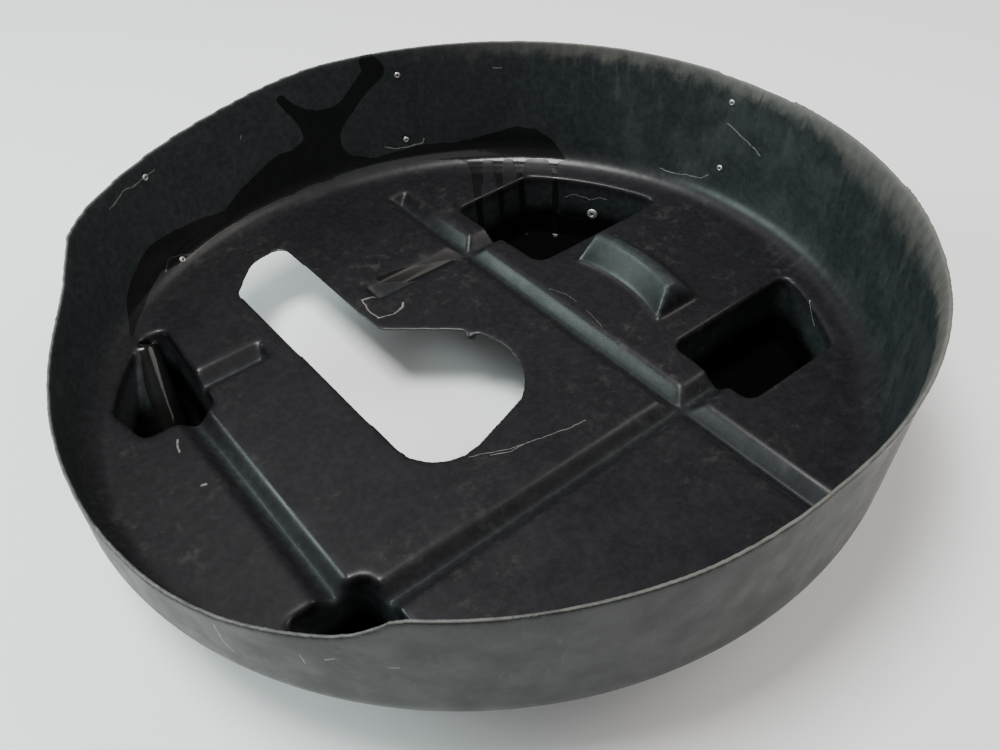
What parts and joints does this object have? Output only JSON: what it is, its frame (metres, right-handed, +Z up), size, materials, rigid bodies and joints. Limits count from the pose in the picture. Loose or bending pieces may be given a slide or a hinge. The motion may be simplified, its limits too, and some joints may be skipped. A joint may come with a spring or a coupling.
{
  "type": "oil drain pan",
  "caption": "Round black moulded tub on pocket feet, with V grooves, a raised block, a key shaped opening in its floor, a stepped rim and blind rivets.",
  "frame": {"origin": "middle of the bounding box at the plane of the pocket undersides, 6 mm beside the tub axis", "axes": "+Z up out of the tub; +X along the cross grooves towards the right and back pockets; +Y along the long grooves towards the back"},
  "size_m": [0.6282, 0.635, 0.191],
  "materials": {
    "moulding": "satin black, scuffed",
    "rivet_body": "satin",
    "mandrel": "dull",
    "washer": "zinc plated"
  },
  "bodies": {
    "root": {"rivet_back_lower_body": "rivet_body", "rivet_back_lower_mandrel": "mandrel", "rivet_back_lower_washer": "washer", "rivet_back_upper_body": "rivet_body", "rivet_back_upper_mandrel": "mandrel", "rivet_back_upper_washer": "washer", "rivet_left_lower_body": "rivet_body", "rivet_left_lower_mandrel": "mandrel", "rivet_left_lower_washer": "washer", "rivet_left_upper_body": "rivet_body", "rivet_left_upper_mandrel": "mandrel", "rivet_left_upper_washer": "washer", "rivet_pocket_body": "rivet_body", "rivet_pocket_mandrel": "mandrel", "rivet_pocket_washer": "washer", "rivet_right_lower_body": "rivet_body", "rivet_right_lower_mandrel": "mandrel", "rivet_right_lower_washer": "washer", "rivet_right_upper_body": "rivet_body", "rivet_right_upper_mandrel": "mandrel", "rivet_right_upper_washer": "washer", "tray_moulding": "moulding"}
  },
  "joints": []
}
